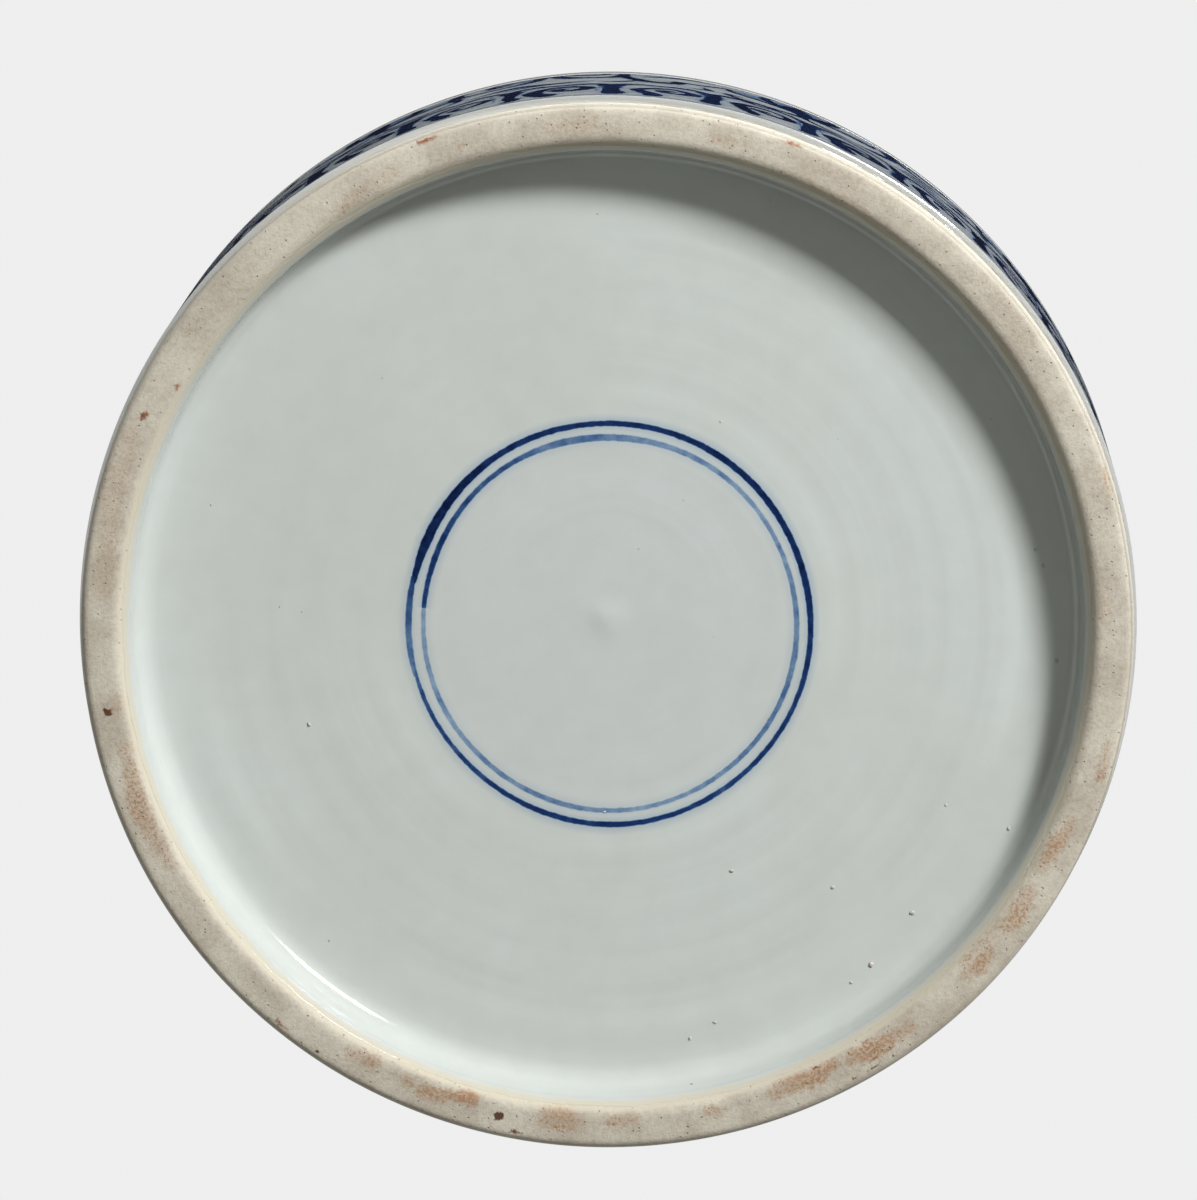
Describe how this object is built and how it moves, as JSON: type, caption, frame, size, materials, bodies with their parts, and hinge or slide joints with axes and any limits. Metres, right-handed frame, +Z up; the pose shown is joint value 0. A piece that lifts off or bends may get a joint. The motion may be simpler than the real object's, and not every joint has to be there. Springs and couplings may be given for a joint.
{
  "type": "seal paste box",
  "caption": "Round lidded porcelain box for seal paste, with a turned foot ring, recessed base, spigot-seated lift-off cover and blue-painted wall.",
  "frame": {"origin": "centre of the standing ring's flat face, on the surface that the box rests on", "axes": "+Z up along the box's axis through the cover; -Y is the side from which the underside view is tilted, so that side's wall shows in it; the solids are round about Z"},
  "size_m": [0.1176, 0.1176, 0.065],
  "materials": {
    "porcelain": "gloss",
    "vermilion_paste": "satin"
  },
  "bodies": {
    "body": {"box_base": "porcelain", "seal_paste": "vermilion_paste"},
    "cover": {"box_cover": "porcelain"}
  },
  "joints": [
    {"name": "cover_lift", "type": "slide", "parent": "body", "child": "cover", "axis": [0, 0, 1], "range_m": [0, 0.08]}
  ]
}
